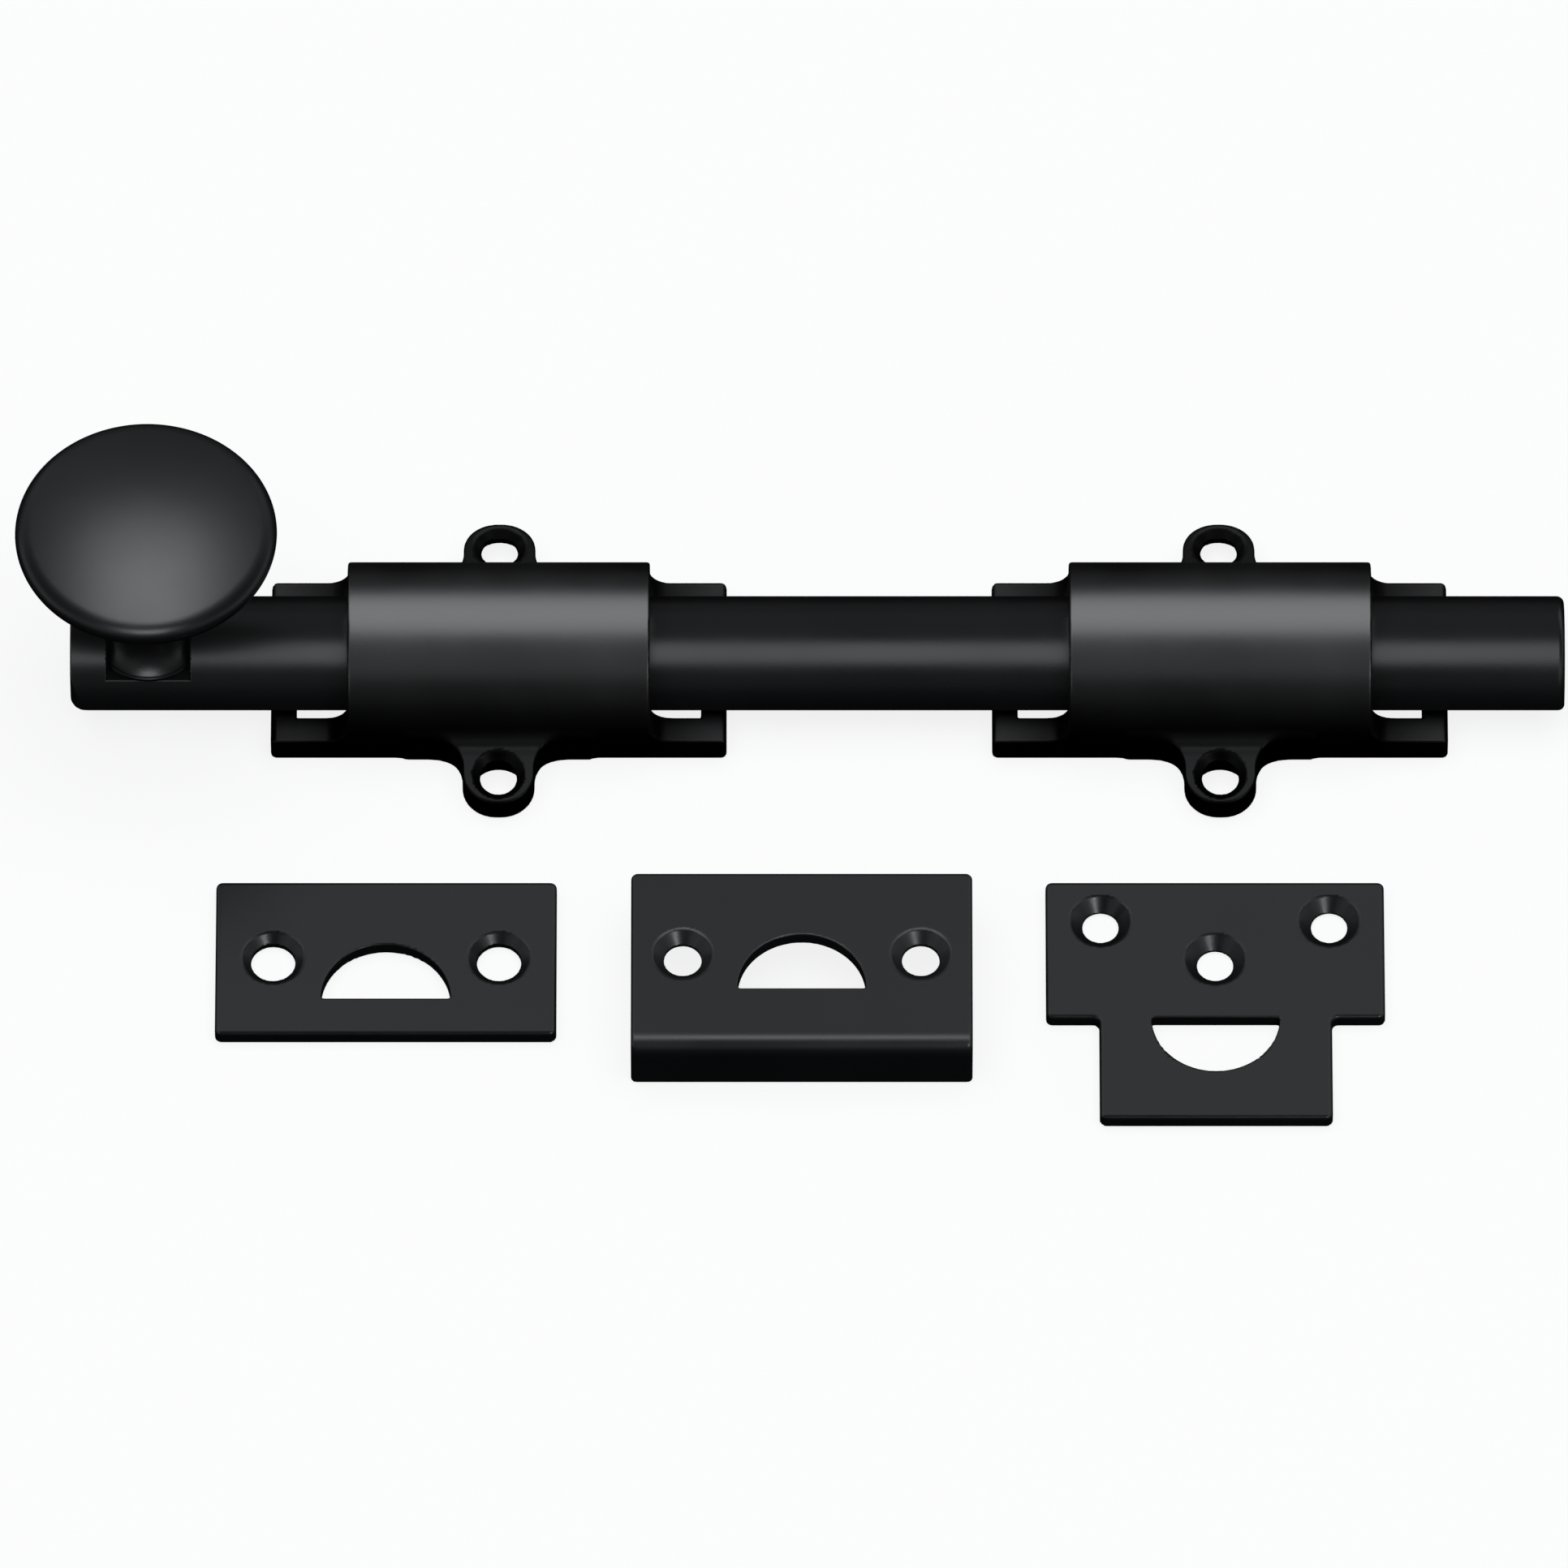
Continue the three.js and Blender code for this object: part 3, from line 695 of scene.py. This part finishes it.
def add_knob():
    points, faces = lathe(knob_outline(), KNOB_STEPS)
    # Two flats cut the round foot, with softly rounded edges.
    foot = points[:, 2] < WAIST[1]
    far = np.abs(points[foot, 0])
    blend = np.maximum(FOOT_ROUND - np.abs(far - FOOT_HALF), 0) / FOOT_ROUND
    limited = np.minimum(far, FOOT_HALF) - blend**2 * FOOT_ROUND / 4
    points[foot, 0] = np.sign(points[foot, 0]) * limited
    mesh = plain_mesh("knob", points, faces)
    place("knob_turned", mesh, BOLT_BLACK, "bolt", "knob", "bolt_black", (SADDLE_X, 0, 0))


def knob_screw(x, y, z):
    """The slotted countersunk screw, on its own axis, with its head in the bar's back."""
    across = np.hypot(x, y)
    shank = np.maximum(across - SCREW_SHANK, z - SCREW_HIGH[2])
    head = common(across - SCREW_HEAD, SCREW_FACE - z, MACHINED_EDGE / 2)
    cone = (across - SCREW_CONE + z - SCREW_FACE) * math.sqrt(0.5)
    body = join(shank, common(head, cone, MACHINED_EDGE / 2), SCREW_FILLET)
    body = common(body, z - SCREW_HIGH[2], SCREW_POINT)
    body = common(body, SCREW_FACE - z, MACHINED_EDGE / 2)
    return remove(body, np.maximum(np.abs(y) - SLOT_HALF, z - SCREW_FACE - SLOT_DEPTH), SLOT_EDGE)


def stop_pin(x, y, z):
    middle = (PIN_LOW[2] + PIN_HIGH[2]) / 2
    half = (PIN_HIGH[2] - PIN_LOW[2]) / 2
    return common(np.hypot(x, y) - PIN_RADIUS, np.abs(z - middle) - half, PIN_ROUND)


def add_screw_and_pin():
    low = (-SCREW_CONE, -SCREW_CONE, SCREW_LOW[2])
    high = (SCREW_CONE, SCREW_CONE, SCREW_HIGH[2])
    rims = (3.8, SCREW_SHANK)
    heights = [low[2], low[2] + SLOT_DEPTH, low[2] + 2, high[2]]
    features = (both_ways(*rims), both_ways(*rims, SLOT_HALF), heights)
    mesh = shape_mesh("knob_screw", knob_screw, low, high, features, 0.6, 0.12)
    place("knob_screw_turned", mesh, PLAIN_STEEL, "bolt", "knob_screw", "plain_steel", (SADDLE_X, 0, 0))

    low = (-PIN_RADIUS, -PIN_RADIUS, PIN_LOW[2])
    high = (PIN_RADIUS, PIN_RADIUS, PIN_HIGH[2])
    features = (both_ways(PIN_RADIUS), both_ways(PIN_RADIUS), [low[2], high[2]])
    mesh = shape_mesh("stop_pin", stop_pin, low, high, features, 0.4, 0.12)
    place("stop_pin_turned", mesh, PLAIN_STEEL, "bolt", "stop_pin", "plain_steel", (PIN_X, 0, 0))


# ---------- Springs ----------

SPRING_THICKNESS = 0.4
SPRING_EDGE = 0.15
SPRING_HALF_LENGTH = 25.5
SPRING_STEPS = 45
SPRING_LAST_STEP = 0.97  # share of the half length at which the even steps end


def leaf_mesh(low, high):
    """A bowed leaf: a thin section with rounded edges, carried along its arc."""
    rise = high[2] - SPRING_THICKNESS - low[2]
    radius = (SPRING_HALF_LENGTH**2 + rise**2) / (2 * rise)
    end = math.asin(SPRING_HALF_LENGTH / radius)
    centre = high[2] - SPRING_THICKNESS - radius
    middle = radius + SPRING_THICKNESS / 2
    half_width = (high[1] - low[1]) / 2

    corner = np.concatenate([np.linspace(q, q + 1, 4) for q in range(4)]) * math.pi / 2
    side = np.repeat([[1, 1], [-1, 1], [-1, -1], [1, -1]], 4, 0)
    # Each station is a share of the half length and how far its section draws in at the leaf's end.
    even = [(share, 0) for share in np.linspace(-SPRING_LAST_STEP, SPRING_LAST_STEP, SPRING_STEPS)]
    stations = [(-1, SPRING_EDGE), (-1, 0), *even, (1, 0), (1, SPRING_EDGE)]
    points = []
    for share, inset in stations:
        edge = SPRING_EDGE - inset
        turn = share * (end - edge / middle) if abs(share) == 1 else share * end
        across = side[:, 0] * (half_width - SPRING_EDGE) + np.cos(corner) * edge
        out = side[:, 1] * (SPRING_THICKNESS / 2 - SPRING_EDGE) + np.sin(corner) * edge
        reach = middle + out
        points.append(np.stack([reach * math.sin(turn), across, centre + reach * math.cos(turn)], 1))
    count = len(side)
    last = (len(stations) - 1) * count
    faces = [tuple(range(count)), tuple(reversed(range(last, last + count)))]
    for ring in range(len(stations) - 1):
        for i in range(count):
            a, b = ring * count + i, ring * count + (i + 1) % count
            faces.append((a, a + count, b + count, b))
    return plain_mesh("leaf", np.concatenate(points), faces)


def add_springs():
    for node in ("front_spring", "rear_spring"):
        low, high = node_box(node)
        at = ((low[0] + high[0]) / 2, 0, 0)
        place(node + "_leaf", leaf_mesh(low, high), SPRING_STEEL, "root", node, "spring_steel", at)


# ---------- Strikes ----------

STRIKE_CORNER = 0.9
HOLE_CORNER = 0.4
PLATE = 2.2  # thickness of every strike

# Every strike is drawn from the middle of its top edge, with Y up. A bar hole is its radius and how far
# down its flat edge lies. A screw is (across, down), and stands on both sides of the middle. A screw hole
# is its radius and its countersink's.
FLAT_HALF, FLAT_HEIGHT = 23.1, 24.8
FLAT_BAR_HOLE = (8.75, 19.0)
FLAT_SCREWS = [(15.3, 12.4)]
FLAT_SCREW_HOLE = (3.0, 4.25)

ANGLE_HALF, ANGLE_HEIGHT = 23.1, 28.5
ANGLE_LIP = 8.9  # height of the plate's face over the lip's edge
ANGLE_BEND = 2.6  # outer radius of the bend
ANGLE_BAR_HOLE = (8.66, 18.8)
ANGLE_SCREWS = [(16.1, 13.3)]
ANGLE_SCREW_HOLE = (2.55, 4.1)

TEE_HEAD_HALF, TEE_HEAD_HEIGHT = 22.95, 22.1
TEE_STEM_HALF, TEE_STEM_TOP, TEE_STEM_END = 15.75, 10.0, 38.4
TEE_BAR_HOLE = (8.66, 22.1)
TEE_SCREWS = [(15.5, 6.4), (0, 12.6)]
TEE_SCREW_HOLE = (2.45, 4.2)


def half_round(x, y, radius, flat, arc_above):
    """The bar's hole, with its flat edge at y = -flat and its arc above or below that."""
    side = -1 if arc_above else 1
    return common(np.hypot(x, y + flat) - radius, side * (y + flat), HOLE_CORNER)


def pressed(outline, z, top):
    """A plate from its outline: the press rounds its front edge and leaves its back edge crisp."""
    return common(common(outline, z - top, PRESSED_EDGE), -z, MACHINED_EDGE / 2)


def pierced(plate, x, y, z, top, bar_hole, screws, screw):
    """The plate with its bar hole and its countersunk screw holes."""
    body = remove(plate, bar_hole, MACHINED_EDGE)
    for screw_x, below in screws:
        across = np.hypot(np.abs(x) - screw_x, y + below)
        body = remove(body, screw_hole(across, z - top, *screw), MACHINED_EDGE)
    return body


def flat_strike(x, y, z):
    outline = rectangle(x, y + FLAT_HEIGHT / 2, FLAT_HALF, FLAT_HEIGHT / 2, STRIKE_CORNER)
    hole = half_round(x, y, *FLAT_BAR_HOLE, True)
    return pierced(pressed(outline, z, PLATE), x, y, z, PLATE, hole, FLAT_SCREWS, FLAT_SCREW_HOLE)


def angle_strike(x, y, z):
    """A plate with its lower edge bent back: it stands on that lip."""
    up = z - ANGLE_LIP
    out = -y - ANGLE_HEIGHT
    front = common(up, out, ANGLE_BEND)
    inside = common(up + PLATE, out + PLATE, ANGLE_BEND - PLATE)
    plate = remove(front, inside, MACHINED_EDGE / 2)
    outline = rectangle(x, y + ANGLE_HEIGHT / 2, ANGLE_HALF, ANGLE_HEIGHT / 2, STRIKE_CORNER)
    plate = common(plate, outline, PRESSED_EDGE)
    plate = common(plate, -z, MACHINED_EDGE)
    hole = half_round(x, y, *ANGLE_BAR_HOLE, True)
    return pierced(plate, x, y, z, ANGLE_LIP, hole, ANGLE_SCREWS, ANGLE_SCREW_HOLE)


def tee_strike(x, y, z):
    head = rectangle(x, y + TEE_HEAD_HEIGHT / 2, TEE_HEAD_HALF, TEE_HEAD_HEIGHT / 2, STRIKE_CORNER)
    stem_middle = (TEE_STEM_TOP + TEE_STEM_END) / 2
    stem_half = (TEE_STEM_END - TEE_STEM_TOP) / 2
    stem = rectangle(x, y + stem_middle, TEE_STEM_HALF, stem_half, STRIKE_CORNER)
    plate = pressed(join(head, stem, STRIKE_CORNER), z, PLATE)
    hole = half_round(x, y, *TEE_BAR_HOLE, False)
    return pierced(plate, x, y, z, PLATE, hole, TEE_SCREWS, TEE_SCREW_HOLE)


def add_strikes():
    # For each strike, where its grid is fine: across from its middle, and up from its top edge.
    screw = (2.5, 3.3, 4.2)
    grids = {
        "flat_strike": (
            flat_strike,
            [FLAT_BAR_HOLE[0], FLAT_HALF, *around(15.3, *screw)],
            [0, -10.25, -19.0, -FLAT_HEIGHT, *around(-12.4, *screw)],
        ),
        "angle_strike": (
            angle_strike,
            [ANGLE_BAR_HOLE[0], ANGLE_HALF, *around(16.1, *screw)],
            [0, -10.1, -18.8, -26.3, -ANGLE_HEIGHT, *around(-13.3, *screw)],
        ),
        "tee_strike": (
            tee_strike,
            [TEE_BAR_HOLE[0], TEE_STEM_HALF, TEE_HEAD_HALF, *around(15.5, *screw), *screw],
            [0, -22.1, -30.8, -TEE_STEM_END, *around(-6.4, *screw), *around(-12.6, *screw)],
        ),
    }
    for node, (distance, across, along) in grids.items():
        low, high = node_box(node)
        middle = (low[0] + high[0]) / 2
        features = (both_ways(*across), along, [low[2], high[2] - PLATE, high[2]])
        start = (low[0] - middle, low[1] - high[1], low[2])
        end = (high[0] - middle, 0, high[2])
        mesh = shape_mesh(node, distance, start, end, features, 0.9, 0.26)
        place(node + "_pressed", mesh, STRIKE_BLACK, "root", node, "strike_black", (middle, high[1], 0))


add_guides()
add_bar()
add_knob()
add_screw_and_pin()
add_springs()
add_strikes()

# ---------- Which light falls on which piece ----------

# Each panel is given by its name, azimuth and elevation in degrees, distance and size in metres, and
# radiance. The ones named key are what the face of a piece mirrors at the photograph's angle.
guides = [pieces["front_guide"], pieces["rear_guide"]]
strikes = [pieces["flat_strike"], pieces["angle_strike"], pieces["tee_strike"]]
bar_and_knob = [pieces["bolt_bar"], pieces["knob"]]
bar_pieces = [pieces["bolt_bar"], pieces["knob_screw"], pieces["stop_pin"]]
guide_pieces = guides + [pieces["front_spring"], pieces["rear_spring"]]
shine_on(panel("guide_key", 0, 112, 0.8, (1.3, 0.74), 5.4), guides)
shine_on(panel("guide_fill", 0, 56, 1.0, (1.3, 0.80), 0.75), guides)
shine_on(panel("knob_key", 0, 102, 0.8, (0.36, 0.58), 6.0, SADDLE_X * MM), [pieces["knob"]])
shine_on(panel("knob_front", 0, 46, 0.8, (0.3, 0.26), 8.5, SADDLE_X * MM), [pieces["knob"]])
shine_on(panel("bar_front", 0, 68, 1.0, (1.3, 0.68), 2.75), [pieces["bolt_bar"]])
shine_on(panel("bolt_fill", 0, 128, 0.9, (1.3, 0.9), 0.25), bar_and_knob)
shine_on(panel("strike_key", 0, 112, 0.8, (1.3, 0.8), 0.97), [pieces["flat_strike"], pieces["tee_strike"]])
shine_on(panel("angle_key", 0, 112, 0.8, (1.3, 0.8), 0.65), [pieces["angle_strike"]])
shine_on(panel("lip_front", 0, 82, 1.0, (1.3, 0.36), 4.2), [pieces["angle_strike"]])
shine_on(panel("guide_glint", 49, 29, 0.9, (0.12, 0.12), 30.0), guides)
shine_on(panel("strike_glint", 25, 33, 0.9, (0.12, 0.12), 36.0), strikes)
shine_on(panel("floor_glow", 0, 90, 2.0, (3.0, 3.0), 0.6), [floor])

# Low panels round the whole bench show the sides and the back. Those that face the camera's way are dim.
for azimuth, radiance in ((0, 0.12), (90, 0.7), (180, 0.12), (270, 0.7)):
    panel(f"low_{azimuth}", azimuth, 12, 1.5, (1.6, 0.6), radiance)
for azimuth in (45, 135, 225, 315):
    for group, radiance, lit in (
        ("guide", 1.1, guide_pieces),
        ("strike", 0.7, strikes),
        ("bar", 1.0, bar_pieces),
        ("knob", 0.4, [pieces["knob"]]),
    ):
        shine_on(panel(f"{group}_corner_{azimuth}", azimuth, 24, 1.5, (1.0, 0.7), radiance), lit)
for azimuth in (90, 270):
    shine_on(panel(f"side_{azimuth}", azimuth, 50, 1.5, (1.4, 0.6), 1.2), guide_pieces + strikes)
